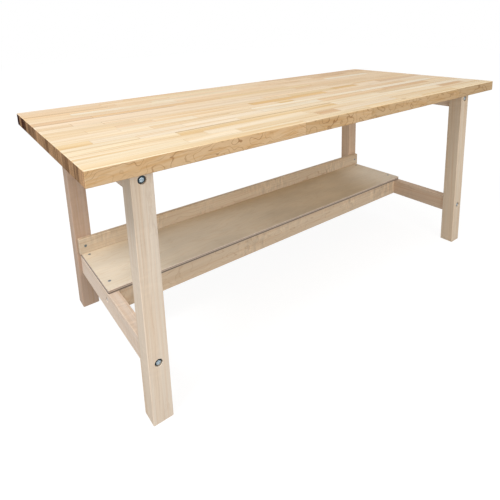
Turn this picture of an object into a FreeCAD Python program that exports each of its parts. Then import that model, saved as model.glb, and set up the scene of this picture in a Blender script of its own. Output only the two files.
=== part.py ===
import FreeCAD, Part
import math
import os

# An assembly table: a laminated hardwood worktop on four square legs. Each pair of
# legs is tied by an upper and a lower end rail, and one long stretcher ties the two
# end frames. A plywood shelf lies on the lower rails and the stretcher, and a board
# stands along its rear edge. All lengths are in millimetres.
# X runs along the table, -Y is the front and +Z is up. The origin is on the floor,
# under the middle of the worktop. Small round bars and holes are drawn with flat
# sides: a bar keeps inside its true circle and a hole keeps outside it.

V = FreeCAD.Vector
X_AXIS = V(1, 0, 0)
Y_AXIS = V(0, 1, 0)
Z_AXIS = V(0, 0, 1)

# ---- Worktop
table_length = 2000.0
table_depth = 900.0
table_height = 850.0
top_thickness = 45.0
top_edge_chamfer = 3.0
strip_width = 45.0
shortest_stave = 260.0
longest_stave = 760.0
shortest_end_piece = 70.0
strip_stagger = 8
stave_stagger = 11
start_stagger = 2
# Staves with a set place in the lay-up: the strip, counted from the front, and where
# the stave starts and ends, measured from the table's left end
set_staves = (
    (0, 0.0, 700.0),
    (1, 0.0, 300.0),
    (1, 820.0, 920.0),
    (2, 1690.0, 1890.0),
    (3, 320.0, 1000.0),
    (5, 0.0, 90.0),
    (5, 1015.0, 1440.0),
    (5, 1440.0, 1790.0),
    (6, 705.0, 1310.0),
    (7, 860.0, 935.0),
    (8, 210.0, 340.0),
    (8, 755.0, 1180.0),
    (9, 1280.0, 1450.0),
    (13, 200.0, 750.0),
    (15, 150.0, 580.0),
    (16, 310.0, 485.0),
    (17, 0.0, 350.0),
    (18, 0.0, 300.0),
)

# ---- Legs and rails
end_overhang = 125.0
side_overhang = 57.5
leg_size = 65.0
leg_edge_radius = 3.0
rail_thickness = 38.0
rail_height = 80.0
rail_edge_radius = 2.0
lower_rail_clearance = 158.0
stretcher_thickness = 38.0
stretcher_front_setback = 439.0

# ---- Shelf and back board
shelf_thickness = 15.0
shelf_nosing = 6.0
shelf_end_inset = 1.0
shelf_leg_gap = 0.5
shelf_corner_radius = 5.0
back_board_thickness = 22.0
back_board_height = 66.0
back_board_end_inset = 8.0
back_board_edge_radius = 3.0

# ---- Round bars and holes
visible_sides = 20
hidden_sides = 12
hexagon_sides = 6

# ---- Hexagon coach screws and washers
screw_diameter = 8.0
screw_clearance = 0.4
pilot_clearance = 0.2
head_across_flats = 13.0
head_height = 5.5
head_chamfer = 1.0
head_chamfer_angle = 30.0
screw_point_length = 7.0
screw_above_rail_middle = 7.0
leg_screw_length = 120.0
leg_washer_diameter = 24.0
leg_washer_thickness = 2.0
leg_washer_play = 1.0
leg_counterbore_depth = 9.0
stretcher_screw_length = 100.0
rail_washer_diameter = 16.0
rail_washer_thickness = 1.6
rail_washer_play = 4.0
rail_counterbore_depth = 9.0
worktop_screw_length = 70.0
worktop_screw_grip = 45.0
worktop_screw_end_distance = 120.0
worktop_screw_play = 2.0

# ---- Dowels
dowel_diameter = 10.0
dowel_length = 40.0
dowel_chamfer = 1.0
dowel_clearance = 0.2
dowel_end_gap = 0.5
dowel_below_rail_middle = 20.0

# ---- Countersunk wood screws
wood_screw_diameter = 6.0
wood_screw_head_diameter = 12.0
wood_screw_point_length = 6.0
wood_screw_clearance = 0.2
recess_span = 5.0
recess_width = 1.3
recess_depth = 2.0
shelf_screw_length = 40.0
shelf_screw_end_distance = 25.0
shelf_screw_front_distance = 60.0
shelf_screw_board_distance = 17.5
board_screw_length = 60.0
edge_screw_length = 38.0
edge_screw_count = 4
edge_screw_end_distance = 85.0

# ---- Places worked out from the sizes
leg_outer_x = table_length / 2 - end_overhang
leg_centre_x = leg_outer_x - leg_size / 2
leg_outer_y = table_depth / 2 - side_overhang
leg_inner_y = leg_outer_y - leg_size
top_underside = table_height - top_thickness
rail_outer_x = leg_centre_x + rail_thickness / 2
rail_inner_x = leg_centre_x - rail_thickness / 2
upper_rail_bottom = top_underside - rail_height
lower_rail_top = lower_rail_clearance + rail_height
upper_screw_z = upper_rail_bottom + rail_height / 2 + screw_above_rail_middle
lower_screw_z = lower_rail_clearance + rail_height / 2 + screw_above_rail_middle
stretcher_front_y = stretcher_front_setback - table_depth / 2
stretcher_centre_y = stretcher_front_y + stretcher_thickness / 2
shelf_top = lower_rail_top + shelf_thickness
shelf_front_y = stretcher_front_y - shelf_nosing
shelf_end_x = rail_outer_x - shelf_end_inset
board_front_y = leg_inner_y - back_board_thickness
board_end_x = leg_outer_x - back_board_end_inset
leg_counterbore_diameter = leg_washer_diameter + leg_washer_play
rail_counterbore_diameter = rail_washer_diameter + rail_washer_play
wood_head_depth = (wood_screw_head_diameter - wood_screw_diameter) / 2
worktop_bore_depth = rail_height - worktop_screw_grip


def box(low, high):
    """A box between two opposite corners."""
    size = V(*high) - V(*low)
    return Part.makeBox(size.x, size.y, size.z, V(*low))


def edges_along(shape, axis):
    """The straight edges of a shape that run along an axis."""
    found = []
    for edge in shape.Edges:
        run = edge.Vertexes[-1].Point - edge.Vertexes[0].Point
        if run.Length > 1e-6 and abs(run.normalize().dot(axis)) > 0.999:
            found.append(edge)
    return found


def softened(shape, radius, *axes):
    """A shape with its edges along the given axes rounded."""
    edges = []
    for axis in axes:
        edges += edges_along(shape, axis)
    return shape.makeFillet(radius, edges)


def moved(shape, place, axis):
    """A copy of a shape made along +Z from the origin, turned to an axis and placed."""
    copy = shape.copy()
    turn = FreeCAD.Rotation(Z_AXIS, axis)
    copy.Placement = FreeCAD.Placement(place, turn)
    return copy


def turned(profile, sides):
    """A turned bar along +Z, drawn with flat sides, from its places and radii along Z."""
    rings = []
    for z, radius in profile:
        angles = [2 * math.pi * k / sides for k in range(sides)]
        rings.append([V(radius * math.cos(a), radius * math.sin(a), z) for a in angles])
    outlines = [rings[0], rings[-1]]
    for low, high in zip(rings, rings[1:]):
        for k in range(sides):
            following = (k + 1) % sides
            outlines.append([low[k], low[following], high[following], high[k]])
    faces = [Part.Face(Part.makePolygon(points + points[:1])) for points in outlines]
    return Part.Solid(Part.Shell(faces))


def around(diameter, sides):
    """The corner radius of an outline whose flat sides touch a circle from outside."""
    return diameter / 2 / math.cos(math.pi / sides)


def hole(place, axis, diameter, depth, sides=hidden_sides):
    """A round cutter that starts at a point and runs along an axis."""
    radius = around(diameter, sides)
    return moved(turned([(0, radius), (depth, radius)], sides), place, axis)


def cut_all(shape, cutters):
    """A shape with every cutter taken out of it."""
    return shape.cut(Part.makeCompound(cutters))


# ---- Fasteners, each made along +Z with its bearing face or its rim at the origin


def coach_screw(length):
    """A hexagon head under the origin, a round shank and a point."""
    corner = around(head_across_flats, hexagon_sides)
    crown = corner - head_chamfer
    crown_height = head_chamfer * math.tan(math.radians(head_chamfer_angle))
    head_profile = [(-head_height, crown), (crown_height - head_height, corner), (0, corner)]
    radius = screw_diameter / 2
    shank_profile = [(0, radius), (length - screw_point_length, radius), (length, radius / 4)]
    return turned(head_profile, hexagon_sides).fuse(turned(shank_profile, hidden_sides))


def washer(diameter, thickness):
    """A flat washer that lies on the plane of the origin."""
    disc = turned([(0, diameter / 2), (thickness, diameter / 2)], visible_sides)
    return disc.cut(hole(V(0, 0, 0), Z_AXIS, screw_diameter + screw_clearance, thickness))


def dowel():
    """A chamfered dowel with its middle at the origin."""
    half = dowel_length / 2
    radius = dowel_diameter / 2
    tip = radius - dowel_chamfer
    body = half - dowel_chamfer
    return turned([(-half, tip), (-body, radius), (body, radius), (half, tip)], hidden_sides)


def wood_screw(length):
    """A countersunk screw with its rim at the origin and a cross recess."""
    core = wood_screw_diameter / 2
    profile = [
        (0, wood_screw_head_diameter / 2),
        (wood_head_depth, core),
        (length - wood_screw_point_length, core),
        (length, core / 4),
    ]
    half_span = recess_span / 2
    half_width = recess_width / 2
    slot = box((-half_span, -half_width, 0), (half_span, half_width, recess_depth))
    cross_slot = box((-half_width, -half_span, 0), (half_width, half_span, recess_depth))
    return turned(profile, hidden_sides).cut(slot.fuse(cross_slot))


def wood_screw_hole(place, axis, length):
    """The countersunk hole that a wood screw fills, with its rim at a point."""
    rim = around(wood_screw_head_diameter + wood_screw_clearance, hidden_sides)
    core = around(wood_screw_diameter + wood_screw_clearance, hidden_sides)
    profile = [(0, rim), (wood_head_depth, core), (length + wood_screw_clearance, core)]
    return moved(turned(profile, hidden_sides), place, axis)


# ---- Where the fasteners go

SIDES = (-1, 1)


def leg_joints(screw_z):
    """Each screw that holds an end rail to a leg: its seat in the leg and its direction."""
    joints = []
    for side_x in SIDES:
        for side_y in SIDES:
            seat = V(side_x * leg_centre_x, side_y * (leg_outer_y - leg_counterbore_depth), screw_z)
            joints.append((seat, V(0, -side_y, 0)))
    return joints


def stretcher_joints():
    """Each screw that holds the stretcher to an end rail."""
    joints = []
    for side_x in SIDES:
        seat = V(side_x * (rail_outer_x - rail_counterbore_depth), stretcher_centre_y, lower_screw_z)
        joints.append((seat, V(-side_x, 0, 0)))
    return joints


def worktop_joints():
    """Each screw that holds the worktop down on an upper rail: its seat in a deep bore."""
    joints = []
    reach_y = leg_inner_y - worktop_screw_end_distance
    for side_x in SIDES:
        for y in (-reach_y, 0, reach_y):
            seat = V(side_x * leg_centre_x, y, upper_rail_bottom + worktop_bore_depth)
            joints.append((seat, Z_AXIS))
    return joints


def rail_dowel_places(rail_bottom):
    """The middles of the dowels between the end rails and the legs, one below each screw."""
    z = rail_bottom + rail_height / 2 - dowel_below_rail_middle
    places = []
    for side_x in SIDES:
        for side_y in SIDES:
            places.append(V(side_x * leg_centre_x, side_y * leg_inner_y, z))
    return places


def stretcher_dowel_places():
    """The middles of the dowels between the stretcher and the end rails."""
    z = lower_rail_clearance + rail_height / 2 - dowel_below_rail_middle
    return [V(side_x * rail_inner_x, stretcher_centre_y, z) for side_x in SIDES]


def shelf_screw_places():
    """The rims of the screws that hold the shelf down on the lower rails."""
    front_y = shelf_front_y + shelf_screw_front_distance
    rear_y = board_front_y - shelf_screw_board_distance
    reach_x = shelf_end_x - shelf_screw_end_distance
    return [V(side_x * reach_x, y, shelf_top) for side_x in SIDES for y in (front_y, rear_y)]


def board_screw_places():
    """The rims of the screws that hold the back board to the rear legs."""
    z = shelf_top + back_board_height / 2
    return [V(side_x * leg_centre_x, board_front_y, z) for side_x in SIDES]


def edge_screw_places():
    """The rims of the screws that go up through the shelf into the back board."""
    reach_x = rail_inner_x - edge_screw_end_distance
    y = board_front_y + back_board_thickness / 2
    places = []
    for k in range(edge_screw_count):
        x = -reach_x + 2 * reach_x * k / (edge_screw_count - 1)
        places.append(V(x, y, lower_rail_top))
    return places


# ---- Cutters that make room for the fasteners


def coach_screw_cutters(joints, bore_diameter, bore_depth, length):
    """Counterbore, shank hole and pilot for each coach screw."""
    cutters = []
    for seat, axis in joints:
        cutters.append(hole(seat - axis * bore_depth, axis, bore_diameter, bore_depth, visible_sides))
        cutters.append(hole(seat, axis, screw_diameter + pilot_clearance, length))
    return cutters


def dowel_cutters(places, axis):
    """A blind hole through both pieces for each dowel."""
    depth = dowel_length + 2 * dowel_end_gap
    cutters = []
    for place in places:
        start = place - axis * (depth / 2)
        cutters.append(hole(start, axis, dowel_diameter + dowel_clearance, depth))
    return cutters


def wood_screw_cutters(places, axis, length):
    """A countersunk hole for each wood screw."""
    return [wood_screw_hole(place, axis, length) for place in places]


def leg_screw_cutters():
    cutters = []
    for screw_z in (upper_screw_z, lower_screw_z):
        cutters += coach_screw_cutters(
            leg_joints(screw_z), leg_counterbore_diameter, leg_counterbore_depth, leg_screw_length
        )
    for rail_bottom in (upper_rail_bottom, lower_rail_clearance):
        cutters += dowel_cutters(rail_dowel_places(rail_bottom), Y_AXIS)
    return cutters


def stretcher_screw_cutters():
    cutters = coach_screw_cutters(
        stretcher_joints(), rail_counterbore_diameter, rail_counterbore_depth, stretcher_screw_length
    )
    return cutters + dowel_cutters(stretcher_dowel_places(), X_AXIS)


def worktop_screw_cutters():
    """Deep bores from below and wide holes, so that the worktop can swell and shrink."""
    cutters = []
    for seat, axis in worktop_joints():
        mouth = seat - axis * worktop_bore_depth
        cutters.append(hole(mouth, axis, rail_counterbore_diameter, worktop_bore_depth))
        cutters.append(hole(seat, axis, screw_diameter + worktop_screw_play, worktop_screw_grip))
    return cutters


def worktop_pilots():
    cutters = []
    for seat, axis in worktop_joints():
        start = seat + axis * worktop_screw_grip
        depth = worktop_screw_length - worktop_screw_grip
        cutters.append(hole(start, axis, screw_diameter + pilot_clearance, depth))
    return cutters


def shelf_screw_cutters():
    return wood_screw_cutters(shelf_screw_places(), V(0, 0, -1), shelf_screw_length)


def board_screw_cutters():
    return wood_screw_cutters(board_screw_places(), Y_AXIS, board_screw_length)


def edge_screw_cutters():
    return wood_screw_cutters(edge_screw_places(), Z_AXIS, edge_screw_length)


# ---- Wooden pieces


def stave_ends(strip):
    """The X places where the staves of one strip butt together, ends included."""
    golden = (math.sqrt(5) - 1) / 2
    ends = [-table_length / 2]
    x = ends[0] - shortest_stave * ((strip * start_stagger * golden) % 1)
    count = 0
    while True:
        share = ((strip * strip_stagger + count * stave_stagger + 1) * golden) % 1
        x += shortest_stave + share * (longest_stave - shortest_stave)
        count += 1
        if x > table_length / 2 - shortest_end_piece:
            break
        if x > ends[0] + shortest_end_piece:
            ends.append(x)
    ends.append(table_length / 2)
    for set_strip, start, end in set_staves:
        if set_strip == strip and end <= table_length - shortest_end_piece:
            ends = with_stave(ends, start - table_length / 2, end - table_length / 2)
    return ends


def with_stave(ends, start, end):
    """The ends of a strip's staves, with one stave set and no joint close to it."""
    joints = ends[1:-1]
    joints = [x for x in joints if x <= start - shortest_end_piece or x >= end + shortest_end_piece]
    joints += [x for x in (start, end) if x > ends[0]]
    return [ends[0]] + sorted(set(joints)) + [ends[-1]]


def worktop():
    """Strips of staves, laid side by side with staggered butt joints and glued up."""
    corner = (table_length / 2, table_depth / 2)
    slab = box((-corner[0], -corner[1], top_underside), (corner[0], corner[1], table_height))
    slab = slab.makeChamfer(top_edge_chamfer, slab.Edges)
    slab = cut_all(slab, worktop_pilots())
    strip_count = max(1, round(table_depth / strip_width))
    width = table_depth / strip_count
    staves = []
    for strip in range(strip_count):
        y = -table_depth / 2 + strip * width
        ends = stave_ends(strip)
        for start, end in zip(ends, ends[1:]):
            blank = box((start, y, top_underside), (end, y + width, table_height))
            staves += slab.common(blank).Solids
    return Part.makeCompound(staves)


def leg(side_x, side_y):
    """A square post with its screws' counterbores on the side away from the rail."""
    low = V(side_x * leg_centre_x - leg_size / 2, side_y * (leg_outer_y - leg_size / 2) - leg_size / 2, 0)
    post = softened(box(low, low + V(leg_size, leg_size, top_underside)), leg_edge_radius, Z_AXIS)
    return cut_all(post, leg_screw_cutters() + board_screw_cutters())


def end_rail(side_x, bottom, cutters):
    """A rail between a front and a rear leg, centred on the legs."""
    x = side_x * leg_centre_x
    low = (x - rail_thickness / 2, -leg_inner_y, bottom)
    high = (x + rail_thickness / 2, leg_inner_y, bottom + rail_height)
    rail = softened(box(low, high), rail_edge_radius, Y_AXIS)
    return cut_all(rail, leg_screw_cutters() + cutters)


def front_stretcher():
    low = (-rail_inner_x, stretcher_front_y, lower_rail_clearance)
    high = (rail_inner_x, stretcher_front_y + stretcher_thickness, lower_rail_top)
    rail = softened(box(low, high), rail_edge_radius, X_AXIS)
    return cut_all(rail, stretcher_screw_cutters())


def shelf():
    low = (-shelf_end_x, shelf_front_y, lower_rail_top)
    high = (shelf_end_x, leg_inner_y - shelf_leg_gap, shelf_top)
    board = softened(box(low, high), shelf_corner_radius, Z_AXIS)
    return cut_all(board, shelf_screw_cutters() + edge_screw_cutters())


def back_board():
    low = (-board_end_x, board_front_y, shelf_top)
    high = (board_end_x, leg_inner_y, shelf_top + back_board_height)
    board = box(low, high)
    visible = edges_along(board, Z_AXIS)
    visible += [edge for edge in edges_along(board, X_AXIS) if edge.BoundBox.ZMin > shelf_top + 1]
    board = board.makeFillet(back_board_edge_radius, visible)
    return cut_all(board, board_screw_cutters() + edge_screw_cutters())


# ---- Groups of identical fasteners


def coach_screws(joints, length, washer_thickness):
    """Coach screws whose heads bear on their washers."""
    screw = coach_screw(length)
    placed = [moved(screw, seat - axis * washer_thickness, axis) for seat, axis in joints]
    return Part.makeCompound(placed)


def washers(joints, diameter, thickness):
    ring = washer(diameter, thickness)
    return Part.makeCompound([moved(ring, seat - axis * thickness, axis) for seat, axis in joints])


def dowels(places, axis):
    pin = dowel()
    return Part.makeCompound([moved(pin, place, axis) for place in places])


def wood_screws(places, axis, length):
    screw = wood_screw(length)
    return Part.makeCompound([moved(screw, place, axis) for place in places])


def parts():
    """Every node of the table by name."""
    upper_joints = leg_joints(upper_screw_z)
    lower_joints = leg_joints(lower_screw_z)
    leg_washer = (leg_washer_diameter, leg_washer_thickness)
    rail_washer = (rail_washer_diameter, rail_washer_thickness)
    lower_rail_cutters = stretcher_screw_cutters() + shelf_screw_cutters()
    upper_rail_cutters = worktop_screw_cutters()
    return {
        "worktop": worktop(),
        "front_left_leg": leg(-1, -1),
        "front_right_leg": leg(1, -1),
        "rear_left_leg": leg(-1, 1),
        "rear_right_leg": leg(1, 1),
        "upper_left_rail": end_rail(-1, upper_rail_bottom, upper_rail_cutters),
        "upper_right_rail": end_rail(1, upper_rail_bottom, upper_rail_cutters),
        "lower_left_rail": end_rail(-1, lower_rail_clearance, lower_rail_cutters),
        "lower_right_rail": end_rail(1, lower_rail_clearance, lower_rail_cutters),
        "front_stretcher": front_stretcher(),
        "shelf": shelf(),
        "back_board": back_board(),
        "upper_leg_screws": coach_screws(upper_joints, leg_screw_length, leg_washer_thickness),
        "upper_leg_washers": washers(upper_joints, *leg_washer),
        "lower_leg_screws": coach_screws(lower_joints, leg_screw_length, leg_washer_thickness),
        "lower_leg_washers": washers(lower_joints, *leg_washer),
        "stretcher_screws": coach_screws(
            stretcher_joints(), stretcher_screw_length, rail_washer_thickness
        ),
        "stretcher_washers": washers(stretcher_joints(), *rail_washer),
        "worktop_screws": coach_screws(
            worktop_joints(), worktop_screw_length, rail_washer_thickness
        ),
        "worktop_washers": washers(worktop_joints(), *rail_washer),
        "upper_rail_dowels": dowels(rail_dowel_places(upper_rail_bottom), Y_AXIS),
        "lower_rail_dowels": dowels(rail_dowel_places(lower_rail_clearance), Y_AXIS),
        "stretcher_dowels": dowels(stretcher_dowel_places(), X_AXIS),
        "shelf_screws": wood_screws(shelf_screw_places(), V(0, 0, -1), shelf_screw_length),
        "back_board_screws": wood_screws(board_screw_places(), Y_AXIS, board_screw_length),
        "shelf_edge_screws": wood_screws(edge_screw_places(), Z_AXIS, edge_screw_length),
    }


os.makedirs("parts", exist_ok=True)
for name, shape in parts().items():
    shape.exportStep("parts/" + name + ".step")
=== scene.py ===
"""The look of an assembly table: laminated worktop, square legs, rails, shelf and back board.

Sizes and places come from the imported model, or repeat one of its sizes. Lengths are metres:
X runs along the table, -Y is the front and Z is up. Each wooden piece is built again with
soft edges and carries its own grain as mesh attributes, which the wood materials read.
"""

import bmesh
import bpy
import math
import random
from mathutils import Matrix, Vector


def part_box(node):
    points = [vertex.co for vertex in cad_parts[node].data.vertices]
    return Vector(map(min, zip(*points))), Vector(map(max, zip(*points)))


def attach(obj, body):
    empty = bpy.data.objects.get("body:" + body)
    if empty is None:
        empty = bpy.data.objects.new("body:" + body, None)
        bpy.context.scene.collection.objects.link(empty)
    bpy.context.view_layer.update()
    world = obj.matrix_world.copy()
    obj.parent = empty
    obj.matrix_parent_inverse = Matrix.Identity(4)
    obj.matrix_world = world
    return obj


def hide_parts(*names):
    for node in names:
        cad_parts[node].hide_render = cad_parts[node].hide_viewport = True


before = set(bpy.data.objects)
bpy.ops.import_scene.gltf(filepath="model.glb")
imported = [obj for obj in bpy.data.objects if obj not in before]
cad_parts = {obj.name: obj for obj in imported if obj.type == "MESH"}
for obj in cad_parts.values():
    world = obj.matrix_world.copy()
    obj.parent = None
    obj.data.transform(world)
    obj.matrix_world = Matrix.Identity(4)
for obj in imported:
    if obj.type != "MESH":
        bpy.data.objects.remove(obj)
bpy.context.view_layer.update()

# ---- Camera at the photograph's viewing angle
CAMERA_PLACE = Vector((-1.2412, -1.4479, 1.1723))
CAMERA_YAW = math.radians(37.74)
CAMERA_PITCH = math.radians(12.19)
CAMERA_ROLL = math.radians(-1.56)
CAMERA_LENS = 30.93
CAMERA_SENSOR = 36.0
CAMERA_SHIFT = (-0.03, -0.27)

# ---- Light and floor
SKY_STRENGTH = 0.62
LIT_POINT = Vector((0.0, 0.0, 0.55))
# Each lamp is its place, size and power
KEY_LAMP = (Vector((-2.6, -0.8, 3.6)), 1.2, 67.0)
FRONT_LAMP = (Vector((-0.8, -5.0, 2.2)), 3.0, 86.0)
FLOOR_HALF_SIZE = 14.0
FLOOR_TINT = (0.42, 0.42, 0.42)
FLOOR_SHADE = (0.20, 0.20, 0.20)
FLOOR_GLOW = 0.88
WHITE = (1.0, 1.0, 1.0)

# ---- Sizes that repeat the model's. Its chamfer round the worktop is a rounding here
HALF_LENGTH = 1.0
HALF_DEPTH = 0.45
TOP_EDGE_RADIUS = 0.003
LEG_EDGE_RADIUS = 0.003
RAIL_EDGE_RADIUS = 0.002
BOARD_EDGE_RADIUS = 0.003
SHELF_CORNER_RADIUS = 0.005
# Each bore is its diameter and depth, and each washer its diameter and thickness
LEG_BORE = (0.025, 0.009)
RAIL_BORE = (0.020, 0.009)
WORKTOP_SCREW_BORE = (0.020, 0.035)
LEG_WASHER = (0.024, 0.0020)
RAIL_WASHER = (0.016, 0.0016)
HEAD_ACROSS_FLATS = 0.013
HEAD_HEIGHT = 0.0055
HEAD_CHAMFER_ANGLE = math.radians(30)
SCREW_DIAMETER = 0.008
SCREW_POINT = 0.007
LEG_SCREW_LENGTH = 0.120
STRETCHER_SCREW_LENGTH = 0.100
WORKTOP_SCREW_LENGTH = 0.070
WORKTOP_SCREW_PLACES = (-0.2075, 0.0, 0.2075)
WOOD_SCREW_DIAMETER = 0.006
WOOD_SCREW_HEAD = 0.012
SHELF_SCREW_LENGTH = 0.040
BOARD_SCREW_LENGTH = 0.060
EDGE_SCREW_LENGTH = 0.038
EDGE_SCREW_COUNT = 4
WOOD_SCREW_POINT = 0.006

LEG_SCREWS = ("upper_leg_screws", "lower_leg_screws")
UPPER_RAILS = ("upper_left_rail", "upper_right_rail")
LOWER_RAILS = ("lower_left_rail", "lower_right_rail")

# ---- Sizes that only the look needs
ARRIS = 0.0008
FOOT_CHAMFER = 0.0015
EDGE_STEPS = 4
ROUND = 48
RIM_CHAMFER = 0.0006
SCREW_HOLE_PLAY = 0.0002
RECESS_ARM = 0.0031
RECESS_WIDTH = 0.0011
RECESS_DEPTH = 0.0026
PLY_LAYERS = 5

# How far apart the year rings lie, and how the grain of the frame's pieces shows
RING_WIDTH = 0.0027
WIDE_RING = 0.0062
LEG_GRAIN = {"figure": 0.35, "streak": 0.7, "drift": 0.01, "curl": 0.15}
RAIL_GRAIN = {"figure": 0.45, "warp": 0.010, "streak": 0.6, "curl": 0.35}
STRETCHER_GRAIN = {"figure": 0.6, "warp": 0.050, "ring_width": WIDE_RING, "hurry": 1.6, "curl": 0.7}
BACK_BOARD_GRAIN = {"figure": 0.6, "warp": 0.020, "streak": 0.8, "ring_width": 0.005, "curl": 0.7}

# The widths of the dark lines at glue joints and at seams of gum, the least strength of a
# joint's line, and a place further out than any stave
JOINT_WIDTH = 0.0013
GUM_WIDTH = 0.0070
FAINTEST_JOINT = 0.25
FAR_AWAY = 9.0

# Two places closer than this are one
TOUCH = 1e-6

# Edges that turn by less than this, in degrees, look round
SHARP_ANGLE = 35
SCREW_SHARP_ANGLE = 28

# A face lies across an axis above this share of its normal, and is eased below the other
END_SHARE = 0.8
EASED_SHARE = 0.98

# ---- Seeds of the random draws. A piece's own number is added
LEG_SEED = 300
LEG_GRAIN_SEED = 310
RAIL_GRAIN_SEED = 330
STRETCHER_GRAIN_SEED = 341
BACK_BOARD_GRAIN_SEED = 351
SHELF_GRAIN_SEED = 361
STAVE_SEED = 1000
STAVE_GRAIN_SEED = 2000
EDGE_SEED = 5000
EDGE_GRAIN_SEED = 6000
SEAM_SEED = 8000


def srgb(*values):
    """A colour from its 0 to 255 values, as Blender's linear numbers."""
    shares = [value / 255 for value in values]
    return tuple(v / 12.92 if v <= 0.04045 else ((v + 0.055) / 1.055) ** 2.4 for v in shares)


# ---- Colours of the wood. The staves' usual tints go from pale to dark
TOP_TINTS = (
    srgb(238, 224, 200), srgb(237, 221, 195), srgb(237, 221, 191),
    srgb(235, 217, 185), srgb(232, 212, 178), srgb(227, 205, 169),
)
PALE = srgb(239, 226, 204)
STRAW = srgb(238, 217, 181)
HONEY = srgb(229, 203, 160)
AMBER = srgb(225, 188, 133)
TAN = srgb(231, 204, 169)
BROWN = srgb(221, 189, 152)

# What the usual tints are multiplied by at the worktop's rear right corner: browner wood, and
# partly a painted shade where the light falls off
REAR_TONE_AND_SHADE = (0.98, 0.87, 0.81)

# The front edge's tints at its left and right ends. It pales towards the left as a painted light
FRONT_EDGE_LIT_LEFT = srgb(223, 189, 147)
FRONT_EDGE_DIM_RIGHT = srgb(201, 171, 131)
END_GRAIN_LIGHT = srgb(197, 157, 118)
END_GRAIN_DARK = srgb(75, 44, 21)
# The rear left leg's darker, browner tint is a painted shade of the worktop over it
LEG_TINTS = {
    "front_left_leg": srgb(234, 218, 199),
    "front_right_leg": srgb(229, 211, 188),
    "rear_left_leg": srgb(201, 177, 158),
    "rear_right_leg": srgb(225, 199, 173),
}
# The lower right rail's browner tint is a painted shade of the worktop's right half above it
RAIL_TINTS = {
    "upper_left_rail": srgb(236, 218, 201),
    "upper_right_rail": srgb(236, 218, 201),
    "lower_left_rail": srgb(236, 218, 201),
    "lower_right_rail": srgb(230, 206, 182),
}
BACK_BOARD_TINT = srgb(217, 198, 173)
STRETCHER_TINT = srgb(224, 202, 175)
PLYWOOD_TINT = srgb(241, 228, 207)
# The browner tint of the shelf's painted shade
PLYWOOD_SHADED_TINT = srgb(214, 194, 164)
PLY_LIGHT = srgb(236, 219, 202)
PLY_DARK = srgb(176, 152, 134)
PLY_GLUE = srgb(104, 86, 70)
DOWEL_TINT = srgb(226, 204, 168)
DOWEL_DARK = srgb(196, 166, 126)

# How much paler long grain is on eased edges, a painted highlight, and how much darker end grain is
ARRIS_HIGHLIGHT = 1.12
TOP_ARRIS_HIGHLIGHT = 1.06
ARRIS_END_DARKER = 0.85

# What a colour is multiplied by in warm bands, year lines, joints and marks
TOP_WARM_TONE = (0.90, 0.79, 0.62)
TOP_LINE_TONE = (0.46, 0.32, 0.20)
TOP_END_LINE_TONE = (0.50, 0.40, 0.30)
JOINT_TONE = (0.50, 0.38, 0.26)
MARK_TONE = (0.52, 0.36, 0.24)
FRAME_WARM_TONE = (0.93, 0.86, 0.78)
FRAME_LINE_TONE = (0.72, 0.60, 0.48)
FRAME_END_LINE_TONE = (0.66, 0.55, 0.44)
VENEER_LINE_TONE = (0.90, 0.83, 0.74)

# Staves with a dark line of gum along their rear side, by a place on each
GUM_STAVES = ((-0.4, -0.29), (-0.8, 0.29), (-0.65, 0.11))

# Staves that stand out, by a place on each
NOTABLE_STAVES = {
    PALE: (
        (0.3, -0.29), (0.8, -0.29), (-0.15, -0.205), (0.0, -0.16), (0.5, -0.16), (-0.7, -0.115),
        (-0.64, 0.245), (0.7, 0.245), (-0.3, 0.29),
    ),
    # The two STRAW staves of the front row, at y -0.43, are paler as a painted highlight of the
    # front arris
    STRAW: ((0.55, -0.43), (0.85, -0.43), (0.0, 0.155), (-0.25, 0.38)),
    HONEY: ((-0.4, -0.29), (-0.955, -0.205), (-0.1, -0.115), (0.14, -0.02)),
    AMBER: ((-0.03, -0.07), (0.36, -0.02)),
    TAN: (
        (0.22, -0.205), (0.4, -0.115), (-0.72, -0.07), (-0.5, 0.155), (-0.6, 0.29),
        (-0.85, 0.335),
    ),
    BROWN: (
        (-0.13, -0.38), (0.79, -0.34), (0.6, -0.205), (0.8, -0.02), (-0.9, 0.155), (0.6, 0.335),
        (0.85, 0.38), (0.5, 0.425),
    ),
}


# ---- Materials


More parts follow.
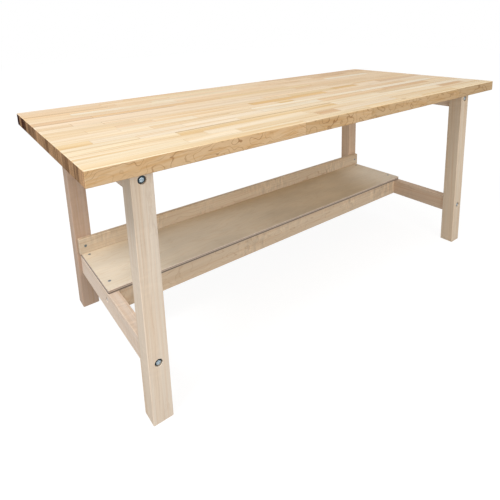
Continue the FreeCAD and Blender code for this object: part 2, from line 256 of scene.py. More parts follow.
class Graph:
    """The node tree of a material or a world. Most calls add a node and return its output."""

    def __init__(self, owner):
        owner.use_nodes = True
        self.owner = owner
        self.tree = owner.node_tree
        self.tree.nodes.clear()

    @classmethod
    def of_material(cls, name):
        return cls(bpy.data.materials.new(name))

    def node(self, kind, inputs=None, **settings):
        made = self.tree.nodes.new("ShaderNode" + kind)
        for name, value in settings.items():
            setattr(made, name, value)
        for key, value in (inputs or {}).items():
            self.feed(made.inputs[key], value)
        return made

    def feed(self, socket, value):
        if isinstance(value, bpy.types.NodeSocket):
            self.tree.links.new(value, socket)
        elif socket.type == "RGBA":
            socket.default_value = (*value, 1.0)
        else:
            socket.default_value = value

    def math(self, operation, *values):
        made = self.node("Math", dict(enumerate(values)), operation=operation)
        return made.outputs[0]

    def product(self, *values):
        result = values[0]
        for value in values[1:]:
            result = self.math("MULTIPLY", result, value)
        return result

    def vector(self, operation, *values):
        made = self.node("VectorMath", dict(enumerate(values)), operation=operation)
        return made.outputs["Value" if operation == "LENGTH" else "Vector"]

    def scaled(self, colour, factor):
        made = self.node("VectorMath", {0: colour, "Scale": factor}, operation="SCALE")
        return made.outputs["Vector"]

    def attribute(self, name, output="Vector"):
        return self.node("Attribute", attribute_name=name).outputs[output]

    def parts(self, vector):
        return self.node("SeparateXYZ", {0: vector}).outputs

    def place(self):
        return self.node("TexCoord").outputs["Object"]

    def noise(self, place, per_metre, detail=2.0):
        """Smooth noise from 0 to 1, with that many waves per metre along each axis."""
        stretched = self.vector("MULTIPLY", place, per_metre)
        inputs = {"Vector": stretched, "Scale": 1.0, "Detail": detail, "Roughness": 0.55}
        return self.node("TexNoise", inputs).outputs["Fac"]

    def centred(self, place, per_metre, detail=2.0):
        """Smooth noise from -0.5 to 0.5."""
        return self.math("SUBTRACT", self.noise(place, per_metre, detail), 0.5)

    def spread(self, value, low, high, new_low=0.0, new_high=1.0):
        """The value moved from one range to another, with soft ends."""
        names = ("Value", "From Min", "From Max", "To Min", "To Max")
        inputs = dict(zip(names, (value, low, high, new_low, new_high)))
        made = self.node("MapRange", inputs, interpolation_type="SMOOTHSTEP")
        return made.outputs["Result"]

    def mix(self, factor, first, second, blend="MIX"):
        """The first colour with a share of the second in it."""
        inputs = {0: factor, 6: first, 7: second}
        made = self.node("Mix", inputs, data_type="RGBA", blend_type=blend)
        return made.outputs[2]

    def toned(self, colour, tone):
        """The colour multiplied by another."""
        return self.mix(1.0, colour, tone, "MULTIPLY")

    def bump(self, height, strength, distance):
        inputs = {"Height": height, "Strength": strength, "Distance": distance}
        return self.node("Bump", inputs).outputs["Normal"]

    def surface(self, colour, roughness, normal, specular=0.5, metallic=0.0):
        """Ends the material in one glossy, coloured surface."""
        names = ("Base Color", "Roughness", "Normal", "Specular IOR Level", "Metallic")
        inputs = dict(zip(names, (colour, roughness, normal, specular, metallic)))
        return self.ended(self.node("BsdfPrincipled", inputs).outputs[0])

    def ended(self, shader, kind="OutputMaterial"):
        self.node(kind, {"Surface": shader})
        return self.owner

    def seen(self):
        """1 where the camera sees it, also in or through glossy and clear things."""
        rays = self.node("LightPath").outputs
        mirrored = self.math("MAXIMUM", rays["Is Glossy Ray"], rays["Is Transmission Ray"])
        return self.math("MAXIMUM", rays["Is Camera Ray"], mirrored)


def ring_lines(graph):
    """Dark lines where the year rings of the log end, from 0 to 1.

    The rings wander from round by up to half of warp, and faster along the board where
    hurry is high.
    """
    grain = graph.attribute("grain")
    _, warp, _ = graph.parts(graph.attribute("look"))
    ring_width, hurry, _ = graph.parts(graph.attribute("rings"))
    section = graph.vector("MULTIPLY", grain, (0.0, 1.0, 1.0))
    radius = graph.vector("LENGTH", section)
    along, across, depth = graph.parts(grain)
    hurried = graph.product(along, hurry)
    waves = graph.node("CombineXYZ", {0: hurried, 1: across, 2: depth}).outputs[0]
    wander = graph.product(graph.centred(waves, (6.0, 20.0, 20.0), 1.2), warp)
    ripple = graph.product(graph.centred(grain, (45.0, 160.0, 160.0)), 0.0012)
    bent = graph.math("ADD", graph.math("ADD", radius, wander), ripple)
    turns = graph.math("DIVIDE", bent, ring_width)
    phase = graph.math("FRACT", turns)
    rise = graph.spread(phase, 0.78, 0.965)
    fall = graph.spread(phase, 1.00, 0.965)
    year = graph.math("FLOOR", turns)
    year_look = graph.node("TexWhiteNoise", {"W": year}, noise_dimensions="1D")
    strength = graph.spread(year_look.outputs["Value"], 0.0, 1.0, 0.25, 1.0)
    return graph.product(rise, fall, strength)


def flames(graph, grain):
    """Short light and dark strokes across the grain, in patches, from about -0.5 to 0.5."""
    _, _, curl = graph.parts(graph.attribute("rings"))
    strokes = graph.centred(grain, (75.0, 24.0, 24.0), 1.5)
    patches = graph.spread(graph.noise(grain, (4.5, 3.0, 3.0), 1.0), 0.46, 0.58)
    return graph.product(strokes, patches, curl)


def wood_colour(graph, line_tone, warm_tone, streak_depth, stripe_depth=0.7):
    """The colour and the height of solid wood with its own grain, in layers.

    Broad warm bands and narrow stripes come first, then shade, year lines and small flecks.
    """
    grain = graph.attribute("grain")
    tint = graph.attribute("tint", "Color")
    figure, _, streak = graph.parts(graph.attribute("look"))
    lines = ring_lines(graph)
    bands = graph.noise(grain, (0.9, 42.0, 42.0), 3.0)
    pinstripes = graph.noise(grain, (1.6, 125.0, 125.0))
    broad = graph.centred(grain, (1.1, 11.0, 11.0))
    fibres = graph.centred(grain, (9.0, 620.0, 620.0), 3.0)
    warmth = graph.product(graph.spread(bands, 0.44, 0.66), streak)
    colour = graph.mix(warmth, tint, graph.toned(tint, warm_tone))
    stripe_strength = graph.math("MULTIPLY_ADD", streak, 0.5 * stripe_depth, 0.5 * stripe_depth)
    stripe = graph.product(graph.spread(pinstripes, 0.48, 0.64), stripe_strength)
    colour = graph.mix(stripe, colour, graph.toned(colour, warm_tone))
    shade = graph.math("MULTIPLY_ADD", graph.math("ADD", broad, fibres), streak_depth, 1.0)
    colour = graph.scaled(colour, graph.math("ADD", shade, flames(graph, grain)))
    dark = graph.toned(colour, line_tone)
    colour = graph.mix(graph.product(lines, figure), colour, dark)
    flecks = graph.spread(graph.noise(grain, (70.0, 900.0, 420.0), 1.0), 0.66, 0.76)
    colour = graph.mix(graph.product(flecks, 0.16), colour, dark)
    height = graph.math("SUBTRACT", fibres, graph.product(lines, 0.5))
    return colour, height


def joint_lines(graph, colour):
    """Draws the hairline glue joints round each stave, and the wide seams of gum.

    stave_low and stave_high hold the stave's borders, its line's strength and its width.
    """
    x, y, _ = graph.parts(graph.place())
    low_x, low_y, seam = graph.parts(graph.attribute("stave_low"))
    high_x, high_y, width = graph.parts(graph.attribute("stave_high"))
    borders = ((x, low_x), (high_x, x), (y, low_y), (high_y, y))
    left, right, front, rear = (graph.math("SUBTRACT", *pair) for pair in borders)
    side_x = graph.math("MINIMUM", left, right)
    side_y = graph.math("MINIMUM", front, rear)
    widths = graph.math("DIVIDE", graph.math("MINIMUM", side_x, side_y), width)
    line = graph.product(graph.spread(widths, 1.0, 0.25), seam)
    return graph.mix(line, colour, graph.toned(colour, JOINT_TONE))


def marks(graph, colour):
    """Small dark pins and gum marks, drawn out along the grain, far apart."""
    grain = graph.attribute("grain")
    drawn = graph.vector("MULTIPLY", grain, (3.2, 17.0, 17.0))
    cells = graph.node("TexVoronoi", {"Vector": drawn, "Scale": 1.0})
    spot = graph.spread(cells.outputs["Distance"], 0.085, 0.03)
    pick = graph.parts(cells.outputs["Color"])[0]
    chosen = graph.math("GREATER_THAN", pick, 0.66)
    depth = graph.product(spot, chosen, 0.75)
    return graph.mix(depth, colour, graph.toned(colour, MARK_TONE))


def worktop_wood():
    """Oiled hardwood of the worktop's top, underside and long edges, with small dark marks."""
    graph = Graph.of_material("worktop_wood")
    colour, height = wood_colour(graph, TOP_LINE_TONE, TOP_WARM_TONE, 0.30, 1.0)
    colour = joint_lines(graph, marks(graph, colour))
    roughness = graph.spread(height, -0.5, 0.5, 0.48, 0.58)
    bump = graph.bump(height, 0.12, 0.0004)
    return graph.surface(colour, roughness, bump, specular=0.12)


def worktop_end_grain():
    """The sawn ends of the staves, which drink more oil and turn dark."""
    graph = Graph.of_material("worktop_end_grain")
    grain = graph.attribute("grain")
    tint = graph.attribute("end_tint", "Color")
    lines = ring_lines(graph)
    cloud = graph.centred(grain, (10.0, 85.0, 9.0))
    pores = graph.centred(grain, (500.0, 1500.0, 1500.0))
    shade = graph.math("MULTIPLY_ADD", graph.math("ADD", cloud, pores), 2.2, 1.0)
    colour = graph.scaled(tint, shade)
    dark = graph.toned(colour, TOP_END_LINE_TONE)
    colour = graph.mix(graph.product(lines, 0.85), colour, dark)
    colour = joint_lines(graph, colour)
    bump = graph.bump(pores, 0.2, 0.0004)
    return graph.surface(colour, roughness=0.8, normal=bump, specular=0.05)


def frame_wood():
    """Pale, matt hardwood of the legs, the rails and the back board."""
    graph = Graph.of_material("frame_wood")
    colour, height = wood_colour(graph, FRAME_LINE_TONE, FRAME_WARM_TONE, 0.26)
    roughness = graph.spread(height, -0.5, 0.5, 0.58, 0.70)
    bump = graph.bump(height, 0.15, 0.0004)
    return graph.surface(colour, roughness, bump, specular=0.12)


def frame_end_grain():
    """The sawn ends of the frame's pieces."""
    graph = Graph.of_material("frame_end_grain")
    grain = graph.attribute("grain")
    tint = graph.attribute("tint", "Color")
    lines = ring_lines(graph)
    pores = graph.centred(grain, (400.0, 1300.0, 1300.0))
    colour = graph.scaled(tint, graph.math("MULTIPLY_ADD", pores, 0.35, 0.96))
    dark = graph.toned(colour, FRAME_END_LINE_TONE)
    colour = graph.mix(lines, colour, dark)
    bump = graph.bump(pores, 0.2, 0.0004)
    return graph.surface(colour, roughness=0.8, normal=bump, specular=0.08)


def plywood_face():
    """Peeled veneer: faint wavy contours and fine pores along X, with a painted shade that browns
    the middle and the rear.
    """
    graph = Graph.of_material("plywood_face")
    grain = graph.attribute("grain")
    tint = graph.attribute("tint", "Color")
    hills = graph.noise(grain, (1.7, 9.0, 9.0), 3.0)
    contour = graph.math("FRACT", graph.product(hills, 16.0))
    rise = graph.spread(contour, 0.55, 0.95)
    fall = graph.spread(contour, 1.0, 0.96)
    fibres = graph.centred(grain, (10.0, 520.0, 520.0), 3.0)
    cloud = graph.centred(grain, (3.2, 7.0, 7.0), 3.0)
    shade = graph.math("MULTIPLY_ADD", fibres, 0.14, 1.0)
    # Painted shade: browner in the middle, under the worktop, and at the rear, by the back board
    x, y, _ = graph.parts(graph.place())
    middle_shade = graph.product(graph.spread(x, -0.55, 0.40), graph.spread(x, 0.80, 0.50))
    rear_shade = graph.spread(y, 0.12, 0.32, 0.0, 0.35)
    tint = graph.mix(graph.math("ADD", middle_shade, rear_shade), tint, PLYWOOD_SHADED_TINT)
    colour = graph.scaled(tint, graph.math("MULTIPLY_ADD", cloud, 0.45, shade))
    dark = graph.toned(colour, VENEER_LINE_TONE)
    colour = graph.mix(graph.product(rise, fall, 0.35), colour, dark)
    bump = graph.bump(fibres, 0.1, 0.0003)
    return graph.surface(colour, roughness=0.65, normal=bump, specular=0.12)


def plywood_edge():
    """The sawn edge of plywood: light and dark layers by height, with a painted shade that darkens
    the lower layers.
    """
    graph = Graph.of_material("plywood_edge")
    low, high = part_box("shelf")
    thickness = (high.z - low.z) / PLY_LAYERS
    wave = graph.product(graph.centred(graph.place(), (7.0, 7.0, 0.0)), 0.0006)
    height = graph.math("SUBTRACT", graph.parts(graph.place())[2], low.z)
    layer = graph.math("DIVIDE", graph.math("ADD", height, wave), thickness)
    pair = graph.math("FRACT", graph.product(layer, 0.5))
    across = graph.math("GREATER_THAN", pair, 0.5)
    from_middle = graph.math("ABSOLUTE", graph.math("SUBTRACT", graph.math("FRACT", layer), 0.5))
    glue = graph.spread(from_middle, 0.42, 0.5)
    speckle = graph.centred(graph.place(), (350.0, 350.0, 900.0))
    colour = graph.mix(across, PLY_LIGHT, PLY_DARK)
    colour = graph.mix(graph.product(glue, 0.4), colour, PLY_GLUE)
    colour = graph.scaled(colour, graph.math("MULTIPLY_ADD", speckle, 0.5, 1.0))
    # Painted shade: the lower layers are darker towards the bottom
    colour = graph.scaled(colour, graph.spread(layer, 1.0, 3.6, 0.36, 1.0))
    bump = graph.bump(speckle, 0.3, 0.0004)
    return graph.surface(colour, roughness=0.75, normal=bump, specular=0.1)


def zinc(name, dark, bright, roughness):
    """Zinc-plated steel with a cloudy, faintly brushed skin."""
    graph = Graph.of_material(name)
    cloud = graph.noise(graph.place(), (260.0, 260.0, 260.0), 3.0)
    scratch = graph.centred(graph.place(), (2400.0, 300.0, 2400.0))
    colour = graph.mix(graph.spread(cloud, 0.3, 0.7), dark, bright)
    dull = graph.spread(cloud, 0.2, 0.8, roughness, roughness + 0.14)
    bump = graph.bump(scratch, 0.12, 0.0002)
    return graph.surface(colour, dull, bump, metallic=1.0)


def dowel_wood():
    """Raw beech of the dowels, with fine fibres."""
    graph = Graph.of_material("dowel_wood")
    fibres = graph.noise(graph.place(), (300.0, 300.0, 300.0), 3.0)
    colour = graph.mix(fibres, DOWEL_TINT, DOWEL_DARK)
    bump = graph.bump(fibres, 0.15, 0.0003)
    return graph.surface(colour, roughness=0.7, normal=bump, specular=0.25)


# ---- Meshes


def ring(radius, height):
    """Points round the Z axis. Radius and height are numbers, or functions of the angle."""
    points = []
    for step in range(ROUND):
        angle = math.tau * step / ROUND
        r = radius(angle) if callable(radius) else radius
        z = height(angle) if callable(height) else height
        points.append(Vector((r * math.cos(angle), r * math.sin(angle), z)))
    return points


def skin(rings, closed=False):
    """A mesh over a row of rings, capped at both ends unless the last meets the first."""
    bm = bmesh.new()
    rows = [[bm.verts.new(point) for point in points] for points in rings]
    pairs = list(zip(rows, rows[1:]))
    if closed:
        pairs.append((rows[-1], rows[0]))
    for lower, upper in pairs:
        for a in range(len(lower)):
            b = (a + 1) % len(lower)
            bm.faces.new((lower[a], lower[b], upper[b], upper[a]))
    if not closed:
        bm.faces.new(reversed(rows[0]))
        bm.faces.new(rows[-1])
    bmesh.ops.recalc_face_normals(bm, faces=bm.faces[:])
    return bm


def rounded_box(low, high, radius, axes="XYZ", arris=0.0):
    """A box whose edges along the given axes are rounded, and the others eased by an arris."""
    bm = bmesh.new()
    bmesh.ops.create_cube(bm, size=1.0)
    bmesh.ops.scale(bm, vec=high - low, verts=bm.verts[:])
    bmesh.ops.translate(bm, vec=(low + high) / 2, verts=bm.verts[:])
    chosen = [edge for edge in bm.edges if "XYZ"[edge_axis(edge)] in axes]
    bevel(bm, chosen, radius, EDGE_STEPS)
    if arris > 0:
        ends = [edge for edge in bm.edges if is_end_edge(edge, low, high, axes)]
        bevel(bm, ends, arris, 2)
    return bm


def edge_axis(edge):
    """0, 1 or 2: the axis that an edge runs along."""
    run = edge.verts[1].co - edge.verts[0].co
    return max(range(3), key=lambda axis: abs(run[axis]))


def is_end_edge(edge, low, high, axes):
    """True for an edge round one of the two flat ends across the only rounded axis."""
    axis = "XYZ".index(axes[0])
    first, second = (vert.co[axis] for vert in edge.verts)
    at_end = min(abs(first - low[axis]), abs(first - high[axis])) < TOUCH
    return at_end and abs(first - second) < TOUCH


def bevel(bm, edges, offset, steps):
    settings = {"profile": 0.5, "affect": "EDGES", "clamp_overlap": True}
    bmesh.ops.bevel(bm, geom=edges, offset=offset, segments=steps, **settings)


def as_object(name, bm):
    mesh = bpy.data.meshes.new(name)
    bm.to_mesh(mesh)
    bm.free()
    made = bpy.data.objects.new(name, mesh)
    bpy.context.scene.collection.objects.link(made)
    return made


def settled(piece):
    """Makes the piece's modifiers part of its mesh."""
    view = bpy.context.evaluated_depsgraph_get()
    mesh = bpy.data.meshes.new_from_object(piece.evaluated_get(view))
    piece.modifiers.clear()
    piece.data = mesh
    return piece


def cut_away(piece, cutter):
    """Takes the cutter's shape out of the piece."""
    modifier = piece.modifiers.new("cut", "BOOLEAN")
    modifier.operation = "DIFFERENCE"
    modifier.solver = "EXACT"
    modifier.object = cutter
    settled(piece)
    bpy.data.objects.remove(cutter)


def smoothed(piece, sharp_angle=SHARP_ANGLE):
    """Smooth shading over small roundings, with flat faces kept flat."""
    mesh = piece.data
    mesh.shade_smooth()
    mesh.set_sharp_from_angle(angle=math.radians(sharp_angle))
    modifier = piece.modifiers.new("normals", "WEIGHTED_NORMAL")
    modifier.keep_sharp = True
    modifier.weight = 100
    return settled(piece)


def aimed(place, direction):
    """The turn and move that put a shape made along +Z at a place, facing a direction."""
    turn = Vector(direction).to_track_quat("Z", "Y").to_matrix().to_4x4()
    return Matrix.Translation(place) @ turn


def scattered(node, make_mesh, spots, material):
    """Zinc copies of a mesh at each spot, a place and a direction, in place of a CAD node."""
    whole = bmesh.new()
    for place, direction in spots:
        copy = make_mesh()
        copy.transform(aimed(place, direction))
        mesh = bpy.data.meshes.new("copy")
        copy.to_mesh(mesh)
        copy.free()
        whole.from_mesh(mesh)
        bpy.data.meshes.remove(mesh)
    piece = smoothed(as_object(node + "_zinc", whole), SCREW_SHARP_ANGLE)
    piece.data.materials.append(material)
    settle_in(piece, node)


# ---- Holes


def sink(piece, rings, place, direction):
    """Cuts a round hole over a row of rings, from a place on the surface."""
    cutter = as_object("cutter", skin(rings))
    cutter.matrix_world = aimed(place, direction)
    bpy.context.view_layer.update()
    cut_away(piece, cutter)


def bore(piece, place, direction, diameter, depth):
    """A round hole with an eased rim, sunk along a direction from a place on the surface."""
    radius = diameter / 2
    rings = [
        ring(radius + 2 * RIM_CHAMFER, -RIM_CHAMFER),
        ring(radius, RIM_CHAMFER),
        ring(radius, depth),
    ]
    sink(piece, rings, place, direction)


def countersink(piece, place, direction):
    """The hole that a countersunk head fills, flush with the surface."""
    head = WOOD_SCREW_HEAD / 2 + SCREW_HOLE_PLAY
    shank = WOOD_SCREW_DIAMETER / 2 + SCREW_HOLE_PLAY
    rings = [
        ring(head + 0.0005, -0.0005),
        ring(head, 0.0),
        ring(shank, head - shank),
        ring(shank, head - shank + 0.004),
    ]
    sink(piece, rings, place, direction)


# ---- Fasteners, each made along +Z, with its head's bearing face or rim on the origin


def hexagon_head_screw(length):
    """A coach screw: hexagon head with a turned chamfer and washer face, then its shank."""
    face = HEAD_ACROSS_FLATS * 0.46
    shank = SCREW_DIAMETER / 2
    slope = math.tan(HEAD_CHAMFER_ANGLE)

    def corner(angle):
        from_flat = (angle + math.pi / 6) % (math.pi / 3) - math.pi / 6
        return HEAD_ACROSS_FLATS / 2 / math.cos(from_flat)

    def chamfer(angle):
        return -HEAD_HEIGHT + (corner(angle) - face) * slope

    rings = [
        ring(face * 0.93, -HEAD_HEIGHT),
        ring(face, -HEAD_HEIGHT + 0.0001),
        ring(corner, chamfer),
        ring(corner, -0.0004),
        ring(HEAD_ACROSS_FLATS * 0.47, 0.0),
        ring(shank + 0.0004, 0.0),
        ring(shank, 0.0005),
        ring(shank, length - SCREW_POINT),
        ring(0.0006, length),
    ]
    return skin(rings)


def washer(diameter, thickness):
    """A punched washer with one rolled edge, lying on the origin towards -Z."""
    outer = diameter / 2
    inner = SCREW_DIAMETER / 2 + 0.0002
    ease = thickness * 0.25
    rings = [
        ring(inner, 0.0),
        ring(outer - ease * 0.3, 0.0),
        ring(outer, -ease * 0.3),
        ring(outer, -thickness + ease),
        ring(outer - ease * 0.3, -thickness + ease * 0.3),
        ring(outer - ease, -thickness),
        ring(inner + ease * 0.5, -thickness),
        ring(inner, -thickness + ease * 0.5),
    ]
    return skin(rings, closed=True)


def cross(span, width):
    """The radius of a cross-shaped recess at each angle."""
    def radius(angle):
        turned = angle % (math.pi / 2)
        near = min(turned, math.pi / 2 - turned)
        along = span / math.cos(near)
        side = width / max(math.sin(near), 1e-6)
        return max(min(along, side), width * 1.15)
    return radius


def countersunk_screw(length):
    """A wood screw with its flat head flush on the origin and a cross recess in it."""
    head = WOOD_SCREW_HEAD / 2
    shank = WOOD_SCREW_DIAMETER / 2
    opening = cross(RECESS_ARM, RECESS_WIDTH)
    floor = cross(RECESS_ARM * 0.55, RECESS_WIDTH * 0.7)
    rings = [
        ring(floor, RECESS_DEPTH),
        ring(opening, 0.00025),
        ring(lambda angle: opening(angle) + 0.0002, 0.0001),
        ring(head - 0.0003, 0.0001),
        ring(head, 0.0004),
        ring(shank, head - shank + 0.0002),
        ring(shank, length - WOOD_SCREW_POINT),
        ring(0.0005, length),
    ]
    return skin(rings)


# ---- Grain: how each board was sawn from its log


class Board:
    """One piece of wood: where it lay in its log, and how its grain shows.

    Figure, streak and curl are the strength of year lines, stripes and flames. Warp is how far
    the rings wander, hurry how fast they do so along the board, and drift how far the board
    was sawn out of line with its log.
    """

    def __init__(
        self, seed, tint, pith, figure=0.4, warp=0.004, streak=0.5, drift=0.02,
        ring_width=RING_WIDTH, hurry=1.0, curl=0.0,
    ):
        chance = random.Random(seed)
        self.tint = tint
        self.end_tint = tint
        self.pith = pith
        self.look = (figure, warp, streak)
        self.rings = (ring_width, hurry, curl)
        self.start = chance.uniform(0.0, 60.0)
        self.drift = (chance.uniform(-drift, drift), chance.uniform(-drift, drift))

    def grain_at(self, along, across, depth):
        """A point of the board in its log: along the pith, and across from it both ways."""
        across_log = across - self.pith[0] + self.drift[0] * along
        depth_log = depth - self.pith[1] + self.drift[1] * along
        return (along + self.start, across_log, depth_log)


# For wood that runs along an axis: the axes along it, across it and into its depth
GRAIN_AXES = {"X": (0, 1, 2), "Y": (1, 0, 2), "Z": (2, 0, 1)}


def corner_values(mesh, vectors, colours=()):
    """New values on the mesh's face corners, by name."""
    for name in vectors:
        mesh.attributes.new(name, "FLOAT_VECTOR", "CORNER")
    for name in colours:
        mesh.attributes.new(name, "FLOAT_COLOR", "CORNER")
    return [mesh.attributes[name].data for name in (*vectors, *colours)]


def write_grain(mesh, boards, centres, axis, arris_highlight):
    """Stores each face's board on its corners. Boards and their middles go by face."""
    grain, look, rings, tint, end_tint = corner_values(
        mesh, ("grain", "look", "rings"), ("tint", "end_tint")
    )
    order = GRAIN_AXES[axis]
    for face, board, centre in zip(mesh.polygons, boards, centres):
        # Eased long-grain faces are made paler as a painted highlight
        eased = max(abs(value) for value in face.normal) < EASED_SHARE
        face_tint = tuple(value * (arris_highlight if eased else 1.0) for value in board.tint)
        face_end = tuple(value * (ARRIS_END_DARKER if eased else 1.0) for value in board.end_tint)
        for loop in face.loop_indices:
            point = mesh.vertices[mesh.loops[loop].vertex_index].co - centre
            grain[loop].vector = board.grain_at(*(point[i] for i in order))
            look[loop].vector = board.look
            rings[loop].vector = board.rings
            tint[loop].color = (*face_tint, 1.0)
            end_tint[loop].color = (*face_end, 1.0)


def give_materials(mesh, *materials):
    """Puts the materials in the mesh's slots, in place of any others."""
    mesh.materials.clear()
    for material in materials:
        mesh.materials.append(material)


def dress(piece, node, board, axis, end_axis, side, end):
    """Gives a one-board piece its grain, and another material on faces across the end axis."""
    mesh = piece.data
    give_materials(mesh, side, end)
    along = "XYZ".index(end_axis)
    for face in mesh.polygons:
        face.material_index = 1 if abs(face.normal[along]) > END_SHARE else 0
    count = len(mesh.polygons)
    write_grain(mesh, [board] * count, [middle(node)] * count, axis, ARRIS_HIGHLIGHT)


def settle_in(piece, node):
    """Puts a finished piece on the table in place of its CAD node."""
    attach(piece, "root")
    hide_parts(node)


# ---- Worktop


def stave_rectangles():
    """Each stave's (low x, high x, low y, high y), from the flat faces of the CAD worktop."""
    bm = bmesh.new()
    bm.from_mesh(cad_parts["worktop"].data)
    low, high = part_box("worktop")
    waiting = {f for f in bm.faces if all(high.z - v.co.z < 10 * TOUCH for v in f.verts)}
    rectangles = []
    while waiting:
        front = [waiting.pop()]
        corners = []
        while front:
            face = front.pop()
            corners += [vert.co.copy() for vert in face.verts]
            near = {other for vert in face.verts for other in vert.link_faces} & waiting
            waiting -= near
            front += near
        x = [corner.x for corner in corners]
        y = [corner.y for corner in corners]
        x_borders = [to_side(value, low.x, high.x) for value in (min(x), max(x))]
        y_borders = [to_side(value, low.y, high.y) for value in (min(y), max(y))]
        rectangles.append((*x_borders, *y_borders))
    bm.free()
    return sorted(rectangles, key=lambda r: (round(r[2], 4), r[0]))


def to_side(value, low, high):
    """A stave's border, moved out to the worktop's side where only the chamfer parts them."""
    reach = TOP_EDGE_RADIUS * 1.5
    if value - low < reach:
        return low
    if high - value < reach:
        return high
    return value


def middle_of(rectangle):
    """The x and y of a stave's middle."""
    low_x, high_x, low_y, high_y = rectangle
    return (low_x + high_x) / 2, (low_y + high_y) / 2


def to_right(x):
    """0 at the worktop's left end and 1 at its right end."""
    return (x + HALF_LENGTH) / (2 * HALF_LENGTH)


def to_rear(y):
    """0 at the worktop's front and 1 at its rear."""
    return (y + HALF_DEPTH) / (2 * HALF_DEPTH)


def between(share, first, second):
    """The colour that lies a share of the way from one to another."""
    return tuple(a + (b - a) * share for a, b in zip(first, second))


def stave_tint(chance, rectangle):
    """A stave's colour. Browner staves lie more often towards the rear and the right, and the tints
    darken towards the rear right corner, partly as a painted shade.
    """
    x, y = middle_of(rectangle)
    away = to_right(x) * 0.3 + to_rear(y) * 0.7
    step = (chance.random() * 0.78 + 0.10 * away) * (len(TOP_TINTS) - 1)
    first = int(step)
    tint = between(step - first, TOP_TINTS[first], TOP_TINTS[first + 1])
    tint = tuple(value * (1.0 + (rear - 1.0) * away) for value, rear in zip(tint, REAR_TONE_AND_SHADE))
    for chosen, places in NOTABLE_STAVES.items():
        if any(covers(rectangle, place) for place in places):
            tint = chosen
    return tint


def stave_board(number, rectangle):
    """The wood of one stave. Its end grain is darker at random, and darker towards the rear as a
    painted shade.
    """
    chance = random.Random(STAVE_SEED + number)
    tint = stave_tint(chance, rectangle)
    side = chance.choice((-1, 1))
    pith = (side * chance.uniform(0.035, 0.110), chance.uniform(-0.05, 0.05))
    board = Board(
        STAVE_GRAIN_SEED + number,
        tint,
        pith,
        figure=chance.uniform(0.10, 0.50),
        warp=chance.uniform(0.002, 0.009),
        streak=chance.uniform(0.2, 1.0),
    )
    # The share from the rear darkens the end grain as a painted shade; the random share is the
    # wood's own
    shade = chance.random() * 0.62 + to_rear(middle_of(rectangle)[1]) * 0.50
    board.end_tint = between(shade, END_GRAIN_LIGHT, END_GRAIN_DARK)
    return board


def edge_board(number, rectangle):
    """The wood of a stave's long side: flat-sawn, and wavier towards the left, and paler there as a
    painted light.
    """
    chance = random.Random(EDGE_SEED + number)
    away = to_right(middle_of(rectangle)[0])
    return Board(
        EDGE_GRAIN_SEED + number,
        between(away, FRONT_EDGE_LIT_LEFT, FRONT_EDGE_DIM_RIGHT),
        (chance.choice((-1, 1)) * 0.075, chance.uniform(-0.012, 0.012)),
        figure=0.85 - 0.25 * away,
        warp=0.050 - 0.030 * away,
        streak=0.35,
        drift=0.14 - 0.08 * away,
        ring_width=WIDE_RING,
        hurry=3.4 - 1.6 * away,
    )


def parted_slab(low, high, rectangles):
    """The worktop's shape, its faces parted along the borders of the staves."""
    bm = rounded_box(low, high, TOP_EDGE_RADIUS)
    for line in sorted({round(r[2], 5) for r in rectangles})[1:]:
        part_at(bm, bm.faces[:], 1, line)
    for low_x, _, low_y, high_y in rectangles:
        if low_x > low.x + TOUCH:
            strip = [face for face in bm.faces if low_y <= face.calc_center_median().y <= high_y]
            part_at(bm, strip, 0, low_x)
    return bm


def joint_borders(number, rectangle, low, high):
    """A stave's lower and upper borders, with its joints' strength and width.

    The worktop's rim has no joint, so a border there is set far away. A stave with gum
    shows only that, along its rear side.
    """
    low_x, high_x, low_y, high_y = rectangle
    if any(covers(rectangle, place) for place in GUM_STAVES):
        return (-FAR_AWAY, -FAR_AWAY, 1.0), (FAR_AWAY, high_y, GUM_WIDTH)
    left = low_x if low_x > low.x else -FAR_AWAY
    front = low_y if low_y > low.y else -FAR_AWAY
    right = high_x if high_x < high.x else FAR_AWAY
    rear = high_y if high_y < high.y else FAR_AWAY
    draw = random.Random(SEAM_SEED + number).random()
    strength = FAINTEST_JOINT + (1.0 - FAINTEST_JOINT) * draw ** 2.5
    return (left, front, strength), (right, rear, JOINT_WIDTH)


def worktop():
    """The slab, parted on its surface into staves that each have their own wood."""
    low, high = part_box("worktop")
    rectangles = stave_rectangles()
    piece = smoothed(as_object("laminated_worktop", parted_slab(low, high, rectangles)))
    boards = [stave_board(number, r) for number, r in enumerate(rectangles)]
    edge_boards = [edge_board(number, r) for number, r in enumerate(rectangles)]
    borders = [joint_borders(number, r, low, high) for number, r in enumerate(rectangles)]
    mesh = piece.data
    stave_low, stave_high = corner_values(mesh, ("stave_low", "stave_high"))
    face_boards = []
    centres = []
    give_materials(mesh, WORKTOP_WOOD, WORKTOP_END_GRAIN)
    for face in mesh.polygons:
        number = stave_at(rectangles, face.center)
        on_rim = -0.95 < face.normal.z < 0.5
        at_end = on_rim and abs(face.normal.x) > abs(face.normal.y)
        face_boards.append((edge_boards if on_rim and not at_end else boards)[number])
        centres.append(Vector((*middle_of(rectangles[number]), (low.z + high.z) / 2)))
        face.material_index = 1 if at_end else 0
        for loop in face.loop_indices:
            stave_low[loop].vector, stave_high[loop].vector = borders[number]
    write_grain(mesh, face_boards, centres, "X", TOP_ARRIS_HIGHLIGHT)
    settle_in(piece, "worktop")


def covers(rectangle, place):
    """True where a stave's rectangle holds a place."""
    low_x, high_x, low_y, high_y = rectangle
    return low_x <= place[0] <= high_x and low_y <= place[1] <= high_y


